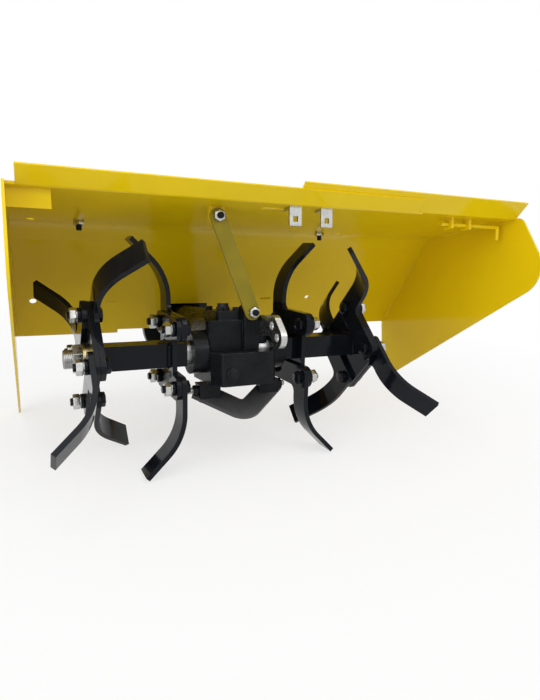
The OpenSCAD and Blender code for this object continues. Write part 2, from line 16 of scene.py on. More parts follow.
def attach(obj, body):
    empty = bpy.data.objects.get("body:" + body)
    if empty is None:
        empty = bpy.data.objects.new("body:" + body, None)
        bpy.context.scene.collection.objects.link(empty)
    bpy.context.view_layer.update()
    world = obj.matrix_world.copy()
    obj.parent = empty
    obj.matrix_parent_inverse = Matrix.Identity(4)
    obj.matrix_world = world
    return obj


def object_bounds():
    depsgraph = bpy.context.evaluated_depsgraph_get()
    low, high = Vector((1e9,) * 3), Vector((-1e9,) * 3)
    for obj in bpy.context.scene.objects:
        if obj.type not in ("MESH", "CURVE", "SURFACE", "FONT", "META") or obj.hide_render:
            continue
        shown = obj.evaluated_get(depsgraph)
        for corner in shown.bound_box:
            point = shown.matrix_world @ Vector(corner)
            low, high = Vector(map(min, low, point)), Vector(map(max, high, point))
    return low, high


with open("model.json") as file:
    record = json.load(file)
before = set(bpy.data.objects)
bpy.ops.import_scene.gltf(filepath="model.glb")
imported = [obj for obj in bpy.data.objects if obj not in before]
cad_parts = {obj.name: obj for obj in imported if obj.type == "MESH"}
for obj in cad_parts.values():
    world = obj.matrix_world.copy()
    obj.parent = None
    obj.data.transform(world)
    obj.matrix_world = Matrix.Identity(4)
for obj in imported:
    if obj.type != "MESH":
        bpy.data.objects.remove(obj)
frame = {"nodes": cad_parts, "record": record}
nodes = frame["nodes"]
cad_low, cad_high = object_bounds()
print("loaded", len(nodes), "CAD nodes, box", tuple(cad_high - cad_low))

# %% [markdown]
# The machine is parked nose down, so its own straight directions lean by a few degrees in the scene.
# A matrix that carries the machine's own millimetres into the scene lets every later place be written
# in the sizes that a workshop drawing has. The rotor has turned a little further than its frame, and
# the corner of its square tube shows by how much.

# %% the machine's own frame
MM = 0.001
PARK_PITCH = math.radians(-7)
SPIGOT = Vector((0, 298, 12))
QUARTER = math.pi / 2

parked = Matrix.Rotation(PARK_PITCH, 4, "X") @ Matrix.Scale(MM, 4)
machine = parked @ Matrix.Translation(-SPIGOT)
shaft = machine @ Vector((0, 0, 0))

tube_points = [vertex.co for vertex in nodes["left_tube"].data.vertices]
corner = max(tube_points, key=lambda point: (point - shaft).yz.length)
turn = (math.atan2(corner.z - shaft.z, corner.y - shaft.y) - QUARTER / 2) % QUARTER
if turn > QUARTER / 2:
    turn -= QUARTER
rotor = Matrix.Translation(shaft) @ Matrix.Rotation(turn, 4, "X") @ Matrix.Scale(MM, 4)
print("shaft at", tuple(shaft), "rotor turned", round(math.degrees(turn), 2))

# %% [markdown]
# The photograph was taken from behind and a little to the left, close to the machine and with a wide
# lens. Only such a near camera makes the left end of the hood look so much larger than the right one.
# The camera's place and aim are written in the machine's own frame, because they were fitted there:
# the open holes near both ends of the hood and the tips of the blades gave the points for that.

# %% camera
IMAGE_LONG_PIXELS = 700
FOCAL_PIXELS = 518
SENSOR = 36
NEAREST = 0.01
CAMERA_SPOT = Vector((-259, -642.5, 89.2))
YAW = math.radians(25.9)
PITCH = math.radians(-7.41)

camera_data = bpy.data.cameras.new("photo_camera")
camera_data.sensor_width = SENSOR
camera_data.lens = FOCAL_PIXELS * SENSOR / IMAGE_LONG_PIXELS
camera_data.clip_start = NEAREST
camera = bpy.data.objects.new("photo_camera", camera_data)
bpy.context.scene.collection.objects.link(camera)
bpy.context.scene.camera = camera

lean = machine.to_3x3().normalized()
level = math.cos(PITCH)
aim = lean @ Vector((math.sin(YAW) * level, math.cos(YAW) * level, math.sin(PITCH)))
right = aim.cross(lean @ Vector((0, 0, 1))).normalized()
view = Matrix((right, right.cross(aim), -aim)).transposed().to_4x4()
camera.matrix_world = Matrix.Translation(machine @ CAMERA_SPOT) @ view
print("camera at", tuple(camera.location), "lens", round(camera_data.lens, 2))

# %% [markdown]
# Floor, room and finishes are all small trees of shader nodes. A helper that makes one node with its
# settings and its incoming links keeps each tree short enough to read as a recipe.

# %% shader nodes in one call
def add(tree, kind, links=(), **settings):
    """One shader node: capital names are its sockets, small names its properties."""
    made = tree.nodes.new("ShaderNode" + kind)
    for name, value in settings.items():
        if name[0].isupper():
            made.inputs[name.replace("_", " ")].default_value = value
        else:
            setattr(made, name, value)
    for socket, source in links:
        tree.links.new(source, made.inputs[socket])
    return made


def backdrop_rays(tree):
    """One for rays from the camera, a mirror or glass, and zero for all other light."""
    rays = add(tree, "LightPath").outputs
    seen = rays["Is Camera Ray"]
    for kind in ("Is Glossy Ray", "Is Transmission Ray"):
        pair = [(0, seen), (1, rays[kind])]
        seen = add(tree, "Math", pair, operation="MAXIMUM").outputs["Value"]
    return seen


print("node helpers ready")

# %% [markdown]
# A plain pale floor carries the machine and its soft shadow. It lies a hair under the lowest blade, so
# that no two faces share one plane.

# %% floor
FLOOR_HALF = 20
FLOOR_GAP = 0.0005
floor_z = cad_low.z - FLOOR_GAP

floor_bm = bmesh.new()
bmesh.ops.create_grid(floor_bm, x_segments=1, y_segments=1, size=FLOOR_HALF)
bmesh.ops.translate(floor_bm, verts=floor_bm.verts, vec=(0, 0, floor_z))
floor_mesh = bpy.data.meshes.new("floor")
floor_bm.to_mesh(floor_mesh)
floor_bm.free()
floor = bpy.data.objects.new("floor", floor_mesh)
bpy.context.scene.collection.objects.link(floor)
print("floor at", round(floor_z, 4))

# %% [markdown]
# The photograph is cut out on white, so the floor fades to pure white away from the machine, for camera
# rays and reflections only: light that bounces sees an ordinary pale floor, and the machine's underside
# gets its natural fill from it. The Light Path node tells these rays apart.

# %% pale floor
FLOOR_GREY = (0.80, 0.80, 0.80, 1)
FLOOR_ROUGH = 0.8
WHITE = (1, 1, 1, 1)
FADE_NEAR, FADE_FAR = 0.35, 1.1
WHITE_NEAR = 0.68

floor_look = bpy.data.materials.new("pale_floor")
floor_look.use_nodes = True
tree = floor_look.node_tree
plain = tree.nodes["Principled BSDF"]
plain.inputs["Base Color"].default_value = FLOOR_GREY
plain.inputs["Roughness"].default_value = FLOOR_ROUGH
white = add(tree, "Emission", Color=WHITE).outputs["Emission"]
spot = add(tree, "TexCoord").outputs["Object"]
away = add(tree, "VectorMath", [(0, spot)], operation="LENGTH").outputs["Value"]
reach = {"From_Min": FADE_NEAR, "From_Max": FADE_FAR, "To_Min": WHITE_NEAR}
fade = add(tree, "MapRange", [("Value", away)], **reach).outputs["Result"]
pair = [(0, fade), (1, backdrop_rays(tree))]
whiteness = add(tree, "Math", pair, operation="MULTIPLY").outputs["Value"]
mix = add(tree, "MixShader", [("Fac", whiteness), (1, plain.outputs["BSDF"]), (2, white)])
tree.links.new(mix.outputs["Shader"], tree.nodes["Material Output"].inputs["Surface"])
floor_mesh.materials.append(floor_look)
print("pale floor")

# %% [markdown]
# Around it all is a white room. The world shows white to the camera and to reflections, and gives a
# gentler light to everything else, so that colours keep their own strength and the inside of the hood
# stays in its own shade.

# %% white room
ROOM_FILL, ROOM_SEEN = 0.55, 1.0

world = bpy.data.worlds.new("white_room")
bpy.context.scene.world = world
world.use_nodes = True
tree = world.node_tree
room = tree.nodes["Background"]
room.inputs["Color"].default_value = WHITE
rays = [("Value", backdrop_rays(tree))]
strength = add(tree, "MapRange", rays, To_Min=ROOM_FILL, To_Max=ROOM_SEEN)
tree.links.new(strength.outputs["Result"], room.inputs["Strength"])
print("white room")

# %% [markdown]
# Studio light is broad and soft. One wide panel hangs overhead, one stands behind the camera on the
# left, a small bright one draws crisp lines along the edges of black paint, and one in front lights the
# far side. All four look at the middle of the machine.

# %% light panels
middle = (cad_low + cad_high) / 2


def light_panel(name, at, size, watts):
    """A square soft light that looks at the machine."""
    data = bpy.data.lights.new(name, "AREA")
    data.size = size
    data.energy = watts
    lamp = bpy.data.objects.new(name, data)
    lamp.location = at
    lamp.rotation_mode = "QUATERNION"
    lamp.rotation_quaternion = (middle - Vector(at)).to_track_quat("-Z", "Y")
    bpy.context.scene.collection.objects.link(lamp)


light_panel("overhead_panel", (-0.3, -1.0, 1.8), size=2.4, watts=24)
light_panel("left_panel", (-1.7, -1.2, 0.5), size=1.2, watts=12)
light_panel("front_panel", (0.6, 1.6, 1.2), size=1.2, watts=8)
light_panel("small_panel", (0.7, -1.7, 1.2), size=0.5, watts=4)
print("four panels")

# %% [markdown]
# The view transform is the plain one, so a paint looks on screen as it is written in its material.

# %% plain view
bpy.context.scene.view_settings.view_transform = "Standard"
print(bpy.context.scene.view_settings.view_transform)

# %% [markdown]
# The finishes share a few tricks. Grain is noise on the object's own coordinates, so that it stays on
# the piece when the rotor turns. Noise rarely leaves its middle values, so the middle is spread out.

# %% grain
EVEN = (1, 1, 1)
NOISE_LOW, NOISE_HIGH = 0.3, 0.7


def grain(tree, scale, low=0, high=1, stretch=EVEN, detail=4):
    """Noise on the piece, spread between two values."""
    spot = add(tree, "TexCoord").outputs["Object"]
    drawn = add(tree, "Mapping", [("Vector", spot)], Scale=stretch).outputs["Vector"]
    noise = add(tree, "TexNoise", [("Vector", drawn)], Scale=scale, Detail=detail).outputs["Fac"]
    spread = {"From_Min": NOISE_LOW, "From_Max": NOISE_HIGH, "To_Min": low, "To_Max": high}
    return add(tree, "MapRange", [("Value", noise)], **spread).outputs["Result"]


print("grain ready")

# %% [markdown]
# Edge wear comes from comparing the true normal with the one of a Bevel node, which only differ close
# to an edge; on the yellow paint the same mask also carries a painted highlight along its edges. The
# same Bevel node, with a fine bump over it, also rounds the hard CAD edges so that they catch the light.
# Lengths in a material are metres, so a bevel of 0.0012 is 1.2 mm.

# %% edges and skin
BEVEL_SAMPLES = 4
EDGE_STARTS, EDGE_FULL = 0.97, 0.75
SCUFF_SCALE = 90


def soft_normal(tree, radius):
    """The normal of a piece whose edges were rounded."""
    return add(tree, "Bevel", samples=BEVEL_SAMPLES, Radius=radius).outputs["Normal"]


# Edges marked by this mask are worn paint; on the yellow paint they are also a painted highlight.
def edge_wear_and_highlight(tree, radius, low, high):
    """Zero on flat faces and more along edges, broken up by noise."""
    true_normal = add(tree, "NewGeometry").outputs["True Normal"]
    normals = [(0, soft_normal(tree, radius)), (1, true_normal)]
    along = add(tree, "VectorMath", normals, operation="DOT_PRODUCT").outputs["Value"]
    near = {"From_Min": EDGE_STARTS, "From_Max": EDGE_FULL}
    edge = add(tree, "MapRange", [("Value", along)], **near).outputs["Result"]
    pair = [(0, edge), (1, grain(tree, SCUFF_SCALE, low, high))]
    return add(tree, "Math", pair, operation="MULTIPLY").outputs["Value"]


def skin(tree, scale, depth, radius, strength=1.0, stretch=EVEN):
    """Softened edges with a fine bump over them, as a normal."""
    peel = grain(tree, scale, stretch=stretch, detail=2)
    links = [("Height", peel), ("Normal", soft_normal(tree, radius))]
    return add(tree, "Bump", links, Strength=strength, Distance=depth).outputs["Normal"]


print("edges and skin ready")

# %% [markdown]
# A finish then needs a colour that turns into another where a value says so, and a shader that takes
# the colour, the roughness and the normal. What is the same all over a piece, such as the strength of
# its clear coat, is set on the shader's own socket.

# %% finishes
MIX_SHARE, MIX_FIRST, MIX_SECOND, MIX_RESULT = 0, 6, 7, 2
looks = {}


def two_tones(tree, share, first, second):
    """One colour or source turning into another."""
    made = add(tree, "Mix", [(MIX_SHARE, share)], data_type="RGBA")
    for socket, tone in ((MIX_FIRST, first), (MIX_SECOND, second)):
        if isinstance(tone, tuple):
            made.inputs[socket].default_value = (*tone, 1)
        else:
            tree.links.new(tone, made.inputs[socket])
    return made.outputs[MIX_RESULT]


def new_finish(name):
    """The node tree of a new material."""
    looks[name] = bpy.data.materials.new(name)
    looks[name].use_nodes = True
    return looks[name].node_tree


def dress(tree, colour, rough, normal, **settings):
    """Join a finish's colour, roughness and normal to its shader, and set its even values."""
    sockets = tree.nodes["Principled BSDF"].inputs
    for socket, source in (("Base Color", colour), ("Roughness", rough), ("Normal", normal)):
        tree.links.new(source, sockets[socket])
    for name, value in settings.items():
        sockets[name.replace("_", " ")].default_value = value


print("finishes can be mixed")

# %% [markdown]
# The hood is sprayed with a glossy yellow enamel. Real spray paint isn't even: its tone drifts a little
# over a large sheet, and its surface keeps a shallow orange peel that breaks up reflections. Along cut
# edges the colour turns paler, partly as paint pulled thin and partly as a painted highlight where the
# edges would catch the light. A clear coat on the shader gives the wet gloss over the colour.

# %% yellow paint
LIGHT_YELLOW = (0.82, 0.59, 0.005)
DEEP_YELLOW = (0.77, 0.545, 0.005)
# The pale edge tone is partly paint pulled thin and partly a painted highlight.
THIN_PAINT_AND_HIGHLIGHT_YELLOW = (0.88, 0.70, 0.08)

tree = new_finish("yellow_paint")
drift = two_tones(tree, grain(tree, scale=6, detail=3), LIGHT_YELLOW, DEEP_YELLOW)
wear_and_highlight = edge_wear_and_highlight(tree, radius=0.0012, low=0.2, high=0.7)
tone = two_tones(tree, wear_and_highlight, drift, THIN_PAINT_AND_HIGHLIGHT_YELLOW)
rough = grain(tree, scale=14, low=0.10, high=0.17)
peel = skin(tree, scale=420, depth=0.000004, radius=0.0008)
dress(tree, tone, rough, peel, Specular_IOR_Level=0.14, Coat_Weight=0.07, Coat_Roughness=0.05)
print("yellow paint")

# %% [markdown]
# Blades, tubes and plates are dipped in black paint. It is a little blue, glossy where it ran thick,
# and it is the first to rub off: soil and handling scuff the edges to grey. Patches of noise make some
# places duller than others, as a hand that wiped over the paint would.

# %% black paint
DEEP_BLACK = (0.0040, 0.0050, 0.0075)
THIN_BLACK = (0.0065, 0.0078, 0.0110)
SCUFFED_BLACK = (0.07, 0.074, 0.08)

tree = new_finish("black_paint")
drift = two_tones(tree, grain(tree, scale=22), DEEP_BLACK, THIN_BLACK)
wear_and_highlight = edge_wear_and_highlight(tree, radius=0.0012, low=-0.2, high=0.6)
tone = two_tones(tree, wear_and_highlight, drift, SCUFFED_BLACK)
rough = grain(tree, scale=35, low=0.07, high=0.19)
peel = skin(tree, scale=300, depth=0.00001, radius=0.0012)
dress(tree, tone, rough, peel, Specular_IOR_Level=0.09, Coat_Weight=0.10, Coat_Roughness=0.03)
print("black paint")

# %% [markdown]
# The centre share has the same black, but its broad face is rubbed to a satin grey. A duller surface
# gathers light from a wide part of the room, so it looks paler than the glossy blades beside it.

# %% satin black
SATIN_DARK = (0.034, 0.034, 0.035)
SATIN_PALE = (0.046, 0.046, 0.047)
RUBBED_SATIN = (0.09, 0.092, 0.095)

tree = new_finish("satin_black")
drift = two_tones(tree, grain(tree, scale=18), SATIN_DARK, SATIN_PALE)
wear_and_highlight = edge_wear_and_highlight(tree, radius=0.0012, low=0, high=0.7)
tone = two_tones(tree, wear_and_highlight, drift, RUBBED_SATIN)
rough = grain(tree, scale=60, low=0.40, high=0.55)
dress(tree, tone, rough, skin(tree, scale=300, depth=0.00002, radius=0.0012))
print("satin black")

# %% [markdown]
# The gear case is cast iron under the same black. A sand mould leaves a pebbly skin, so the bump is
# coarser and deeper than that of sheet steel, and the gloss breaks into small dull and bright grains.

# %% black casting
CAST_DARK = (0.0050, 0.0060, 0.0072)
CAST_PALE = (0.0115, 0.0125, 0.0140)
RUBBED_CAST = (0.09, 0.095, 0.10)
DRAWN_ALONG_X = (0.3, 1, 1)

tree = new_finish("black_casting")
drift = two_tones(tree, grain(tree, scale=40), CAST_DARK, CAST_PALE)
wear_and_highlight = edge_wear_and_highlight(tree, radius=0.0018, low=0, high=0.7)
tone = two_tones(tree, wear_and_highlight, drift, RUBBED_CAST)
rough = grain(tree, scale=120, low=0.18, high=0.34, stretch=DRAWN_ALONG_X)
pebbles = skin(tree, scale=520, depth=0.00013, radius=0.0018, strength=0.7)
dress(tree, tone, rough, pebbles, Specular_IOR_Level=0.10)
print("black casting")

# %% [markdown]
# The filler cap is moulded plastic: an even deep black with a fine matt texture from its mould.

# %% black plastic
PLASTIC_DARK = (0.009, 0.009, 0.010)
PLASTIC_PALE = (0.016, 0.016, 0.017)

tree = new_finish("black_plastic")
tone = two_tones(tree, grain(tree, scale=300), PLASTIC_DARK, PLASTIC_PALE)
rough = grain(tree, scale=250, low=0.42, high=0.6)
dress(tree, tone, rough, skin(tree, scale=1500, depth=0.00006, radius=0.0006))
print("black plastic")

# %% [markdown]
# The strut's yellow is painted as a dull dark olive: a darker yellow that stands for the shade the strut
# sits in. It is less glossy than the hood, with paler rubbed marks along its edges.

# %% olive paint with painted shade
# Both tones are a darker yellow painted as the shade on the strut; the rubbed tone is real wear.
LIGHT_SHADOWED_YELLOW = (0.25, 0.195, 0.010)
DEEP_SHADOWED_YELLOW = (0.20, 0.158, 0.010)
RUBBED_OLIVE = (0.50, 0.43, 0.16)

tree = new_finish("olive_paint")
drift = two_tones(tree, grain(tree, scale=30), LIGHT_SHADOWED_YELLOW, DEEP_SHADOWED_YELLOW)
wear_and_highlight = edge_wear_and_highlight(tree, radius=0.0012, low=0.1, high=0.8)
tone = two_tones(tree, wear_and_highlight, drift, RUBBED_OLIVE)
rough = grain(tree, scale=60, low=0.28, high=0.45)
peel = skin(tree, scale=400, depth=0.00003, radius=0.0008)
dress(tree, tone, rough, peel, Specular_IOR_Level=0.2)
print("olive paint")

# %% [markdown]
# Nuts, clips and the drag bar lug are plated with bright zinc. Zinc shows as a pale metal whose crystals
# and thin oxide give small patches of brighter and duller grey, with faint scratches from the wrench.

# %% zinc
ZINC_DULL = (0.47, 0.48, 0.465)
ZINC_BRIGHT = (0.58, 0.58, 0.56)
ZINC_SCRATCH = (0.42, 0.42, 0.41)
DRAWN_ALONG_Y = (1, 0.06, 1)

tree = new_finish("zinc")
cloud = two_tones(tree, grain(tree, scale=160), ZINC_DULL, ZINC_BRIGHT)
scratches = grain(tree, scale=700, low=0, high=0.16, stretch=DRAWN_ALONG_Y)
tone = two_tones(tree, scratches, cloud, ZINC_SCRATCH)
rough = grain(tree, scale=220, low=0.20, high=0.38)
dress(tree, tone, rough, skin(tree, scale=900, depth=0.00004, radius=0.0006), Metallic=1)
print("zinc")

# %% [markdown]
# The end nuts sit on washers with a yellow chromate, which shimmers between brass and a greener grey.
# The nut itself is plain zinc. Both are one CAD node, so the finish changes at the washer's outer face,
# which it finds by its distance along the shaft.

# %% yellow zinc
WASHER_FACE, WASHER_RIM = 0.1945, 0.0004
BRASS = (0.66, 0.50, 0.17)
GREEN_GREY = (0.58, 0.52, 0.30)
NUT_DULL = (0.58, 0.59, 0.57)
NUT_BRIGHT = (0.78, 0.78, 0.75)

tree = new_finish("yellow_zinc")
shimmer = two_tones(tree, grain(tree, scale=90), BRASS, GREEN_GREY)
plain_zinc = two_tones(tree, grain(tree, scale=160), NUT_DULL, NUT_BRIGHT)
spot = add(tree, "TexCoord").outputs["Object"]
along_shaft = add(tree, "SeparateXYZ", [("Vector", spot)]).outputs["X"]
from_middle = add(tree, "Math", [(0, along_shaft)], operation="ABSOLUTE").outputs["Value"]
change = {"From_Min": WASHER_FACE, "From_Max": WASHER_FACE + WASHER_RIM}
past_washer = add(tree, "MapRange", [("Value", from_middle)], **change).outputs["Result"]
tone = two_tones(tree, past_washer, shimmer, plain_zinc)
rough = grain(tree, scale=220, low=0.22, high=0.40)
dress(tree, tone, rough, skin(tree, scale=900, depth=0.00004, radius=0.0007), Metallic=1)
print("yellow zinc")

# %% [markdown]
# Shafts and threads are bare steel, turned on a lathe and wiped with oil. The tool leaves fine rings
# round the shaft, so the grain is pressed together along the shaft, and oil darkens it in patches.

# %% bare steel
STEEL_OILED = (0.34, 0.335, 0.33)
STEEL_DRY = (0.46, 0.46, 0.455)
PRESSED_ALONG_X = (60, 1, 1)

tree = new_finish("bare_steel")
tone = two_tones(tree, grain(tree, scale=50), STEEL_OILED, STEEL_DRY)
rough = grain(tree, scale=70, low=0.26, high=0.44)
rings = skin(tree, scale=60, depth=0.00003, radius=0.0008, stretch=PRESSED_ALONG_X)
dress(tree, tone, rough, rings, Metallic=1)
print("bare steel")

# %% [markdown]
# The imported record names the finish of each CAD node, so the nodes are dressed straight from it. Only
# the share gets the satin kind of its black.

# %% dress the CAD nodes
for part in frame["record"]["subparts"]:
    mesh = nodes[part["node"]].data
    mesh.materials.clear()
    mesh.materials.append(looks[part["material_slot"]])
nodes["centre_share"].data.materials[0] = looks["satin_black"]
print("dressed", len(nodes), "nodes in", len(looks), "finishes")

# %% [markdown]
# Hardware is made once in its own millimetres, standing on the XY plane and pointing up, and then set
# in many places. A place is a point with a direction, in the machine's frame or in the rotor's. The
# copies that share a body and a finish are gathered into one mesh with its place in its vertices.

# %% placing and gathering hardware
SHARP_FROM = math.radians(35)


def facing(base, point, direction):
    """Where a piece stands whose foot is at a point and whose top looks in a direction."""
    spin = Vector(direction).to_track_quat("Z", "Y").to_matrix().to_4x4()
    return base @ Matrix.Translation(Vector(point)) @ spin


def stamp(whole, shape, place):
    """Add a copy of a shape, set in its place, to a larger one."""
    copy = bpy.data.meshes.new("copy")
    shape.to_mesh(copy)
    copy.transform(place)
    whole.from_mesh(copy)
    bpy.data.meshes.remove(copy)


def gather(name, body, finish, placed):
    """One named piece from many (shape, place) pairs, riding on a body."""
    whole = bmesh.new()
    for shape, place in placed:
        stamp(whole, shape, place)
    mesh = bpy.data.meshes.new(name)
    whole.to_mesh(mesh)
    whole.free()
    mesh.shade_smooth()
    mesh.set_sharp_from_angle(angle=SHARP_FROM)
    mesh.materials.append(looks[finish])
    piece = bpy.data.objects.new(name, mesh)
    bpy.context.scene.collection.objects.link(piece)
    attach(piece, body)
    print(name, "from", len(placed), "shapes,", len(mesh.polygons), "faces")


print("hardware can be placed")

# %% [markdown]
# Most small hardware is turned work, so a lathe is the natural tool: a few profile points, joined by
# edges, are spun once round the axis. Where the profile starts and ends on the axis, the spin's ends
# meet in poles, and merging the doubles there closes the shape. Then its normals are made to agree.

# %% a lathe
SAME_POINT = 0.001


def lathe(profile, steps=24):
    """A closed shape turned from (radius, height) points."""
    bm = bmesh.new()
    points = [bm.verts.new((radius, 0, height)) for radius, height in profile]
    line = [bm.edges.new(pair) for pair in zip(points, points[1:])]
    bmesh.ops.spin(
        bm,
        geom=points + line,
        cent=(0, 0, 0),
        axis=(0, 0, 1),
        angle=math.tau,
        steps=steps,
        use_merge=True,
    )
    bmesh.ops.remove_doubles(bm, verts=bm.verts, dist=SAME_POINT)
    bmesh.ops.recalc_face_normals(bm, faces=bm.faces)
    return bm


print("lathe ready")

# %% [markdown]
# A thread at this size is a spun zigzag: rings instead of a helix, which nobody can tell apart in use.
# Each turn has a crest and a root, and the bolt's tip is chamfered so that a nut finds its way on.

# %% threads
CREST_AT, ROOT_AT = 0.2, 0.7
ROOT_SHARE, TIP_SHARE = 0.87, 0.8
END_SUNK = 0.5


def thread_end(radius, length, pitch):
    """A threaded bolt end with a chamfered tip, sunk a little into its nut."""
    teeth = []
    for k in range(int(length / pitch)):
        teeth.append((radius, k * pitch + CREST_AT * pitch))
        teeth.append((ROOT_SHARE * radius, k * pitch + ROOT_AT * pitch))
    foot = [(0, -END_SUNK), (radius, -END_SUNK)]
    return lathe([*foot, *teeth, (TIP_SHARE * radius, length), (0, length)])


blade_end = thread_end(radius=5, length=3, pitch=1.5)
strut_end = thread_end(radius=4, length=5, pitch=1.25)
hanging_end = thread_end(radius=4, length=7, pitch=1.25)
print("blade bolt end with", len(blade_end.faces), "faces")

# %% [markdown]
# A hexagon is a cone with six sides and no taper. Real nuts and heads are chamfered where the wrench
# goes on, so a lathe-turned cone would trim their corners; a bevel of the rim edges looks the same at
# this size and costs less. A thin washer face under it keeps the corners off the paint.

# %% hexagons
SEAT_T = 0.6
SEAT_SHARE = 0.49
SEAT_LOW, SEAT_HIGH = -0.3, 0.8
RIM_SHARE = 0.09
LEVEL = 0.01


def round_off(bm, edges, offset, segments):
    """Round some edges of a shape."""
    bmesh.ops.bevel(
        bm,
        geom=edges,
        offset=offset,
        offset_type="OFFSET",
        affect="EDGES",
        segments=segments,
        profile=0.5,
        material=-1,
    )


def rise(edge):
    """How far an edge climbs."""
    return abs(edge.verts[0].co.z - edge.verts[1].co.z)


def hexagon(flats, height):
    """A hexagon with chamfered rims on a thin washer face."""
    bm = bmesh.new()
    r = flats / math.sqrt(3)
    bmesh.ops.create_cone(bm, cap_ends=True, segments=6, radius1=r, radius2=r, depth=height)
    bmesh.ops.translate(bm, verts=bm.verts, vec=(0, 0, height / 2 + SEAT_T))
    rims = [edge for edge in bm.edges if rise(edge) < LEVEL]
    round_off(bm, rims, RIM_SHARE * flats, segments=2)
    seat_r = SEAT_SHARE * flats
    seat = lathe([(0, SEAT_LOW), (seat_r, SEAT_LOW), (seat_r, SEAT_HIGH), (0, SEAT_HIGH)])
    stamp(bm, seat, Matrix())
    seat.free()
    return bm


blade_head = hexagon(flats=16, height=6)
blade_nut = hexagon(flats=16, height=8)
small_head = hexagon(flats=10, height=4)
strut_nut = hexagon(flats=13, height=6.5)
print("hexagons with", len(blade_nut.faces), "faces")

# %% [markdown]
# The blades are held by M10 bolts in a square round the tube. On the inner plates a bolt goes through
# one blade and the plate; on the outer plates each corner joins two blades, one on either face. Heads
# look towards the gear case and nuts outwards, where a wrench gets at them. A thick black lock washer
# under each nut keeps it from shaking loose, and only a short end of the bolt stands past the nut.

# %% blade bolts
TUBE_W, BLADE_W, SEAT_GAP = 30, 30, 0.3
BOLT_OFF = TUBE_W / math.sqrt(2) + BLADE_W / 2 + SEAT_GAP
OUTER_TURN = Matrix.Rotation(math.radians(44), 4, "X")
INNER_HEAD_X, INNER_NUT_X = 81, 93
OUTER_HEAD_X, OUTER_NUT_X = 176, 194
WASHER_T, NUT_TOP = 4, 8.6
BORE_R, WASHER_R = 5.2, 9
WASHER_EDGE, WASHER_FOOT = 0.4, 0.5

washer_outline = [
    (BORE_R, 0),
    (WASHER_R - WASHER_EDGE, 0),
    (WASHER_R, WASHER_FOOT),
    (WASHER_R, WASHER_T - WASHER_EDGE),
    (WASHER_R - WASHER_EDGE, WASHER_T),
    (BORE_R, WASHER_T),
    (BORE_R, 0),
]
lock_washer = lathe(washer_outline)

plates = (
    (rotor, INNER_HEAD_X, INNER_NUT_X),
    (rotor @ OUTER_TURN, OUTER_HEAD_X, OUTER_NUT_X),
)
corners = [(y, z) for y in (-BOLT_OFF, BOLT_OFF) for z in (-BOLT_OFF, BOLT_OFF)]
bolts = [(side, y, z, *plate) for side in (-1, 1) for y, z in corners for plate in plates]

heads, washers, nuts, ends = [], [], [], []
for side, y, z, base, head_x, washer_x in bolts:
    nut_x = washer_x + WASHER_T
    end_x = nut_x + NUT_TOP
    out = (side, 0, 0)
    heads.append((blade_head, facing(base, (side * head_x, y, z), (-side, 0, 0))))
    washers.append((lock_washer, facing(base, (side * washer_x, y, z), out)))
    nuts.append((blade_nut, facing(base, (side * nut_x, y, z), out)))
    ends.append((blade_end, facing(base, (side * end_x, y, z), out)))
gather("blade_bolt_heads", "rotor", "black_paint", heads)
gather("blade_lock_washers", "rotor", "black_paint", washers)
gather("blade_nuts", "rotor", "zinc", nuts)
gather("blade_bolt_ends", "rotor", "black_paint", ends)

# %% [markdown]
# The shaft's ends are threaded studs that pull the whole stack of tubes and plates together. Their
# thread is the same kind of zigzag, in a closed shape that stands a little proud of the CAD stud.

# %% end stud threads
STUD_FROM, STUD_LEN, STUD_PROUD = 205, 10, 0.3
STUD_R, STUD_CREST_R, STUD_ROOT_R, STUD_TIP_R = 10.5, 11.6, 10.6, 9.6
STUD_PITCH, STUD_TURNS = 2, 5
STUD_CREST_AT, STUD_ROOT_AT = 0.25, 0.75

zigzag = []
for k in range(STUD_TURNS):
    zigzag.append((STUD_CREST_R, STUD_PITCH * k + STUD_CREST_AT * STUD_PITCH))
    zigzag.append((STUD_ROOT_R, STUD_PITCH * k + STUD_ROOT_AT * STUD_PITCH))
stud_top = STUD_LEN + STUD_PROUD
cap = [(STUD_TIP_R, stud_top), (0, stud_top), (0, 0), (STUD_R, 0)]
stud = lathe([(STUD_R, 0), *zigzag, *cap])
studs = [(stud, facing(rotor, (side * STUD_FROM, 0, 0), (side, 0, 0))) for side in (-1, 1)]
gather("end_stud_threads", "rotor", "bare_steel", studs)

# %% [markdown]
# The strut is bolted to a lug under the ceiling and to a foot on the upper case. Bright nuts face the
# rear, with the dark bolt ends just past them.

# %% strut bolts
STRUT_TOP = Vector((-32, -30, 170.2))
STRUT_FOOT = Vector((14, -30, 51))
LUG_FRONT = Vector((-32, -21, 170.2))
BACK, FRONT = Vector((0, -1, 0)), Vector((0, 1, 0))
PAST_NUT = 7

strut_nuts = [(strut_nut, facing(machine, spot, BACK)) for spot in (STRUT_TOP, STRUT_FOOT)]
strut_nuts.append((strut_nut, facing(machine, LUG_FRONT, FRONT)))
gather("strut_nuts", "frame", "zinc", strut_nuts)
end_spots = [spot + PAST_NUT * BACK for spot in (STRUT_TOP, STRUT_FOOT)]
strut_ends = [(strut_end, facing(machine, spot, BACK)) for spot in end_spots]
gather("strut_bolt_ends", "frame", "black_paint", strut_ends)

# %% [markdown]
# The ceiling falls a little towards the front, so what is fixed to it leans with it. A helper gives any
# point of its underside, and the direction that stands square to it.

# %% places on the ceiling
REAR_FOLD = Vector((0, -60, 184.88))
CEILING_RUN, CEILING_DROP = 192, 15
SHEET = 2.5
fall = Vector((0, CEILING_RUN, -CEILING_DROP)).normalized()
over = Vector((0, -fall.z, fall.y))


def on_ceiling(x, y, lift=0):
    """A point of the ceiling's underside, or one lifted off it."""
    return REAR_FOLD + Vector((x, 0, 0)) + fall * ((y - REAR_FOLD.y) / fall.y) + over * lift


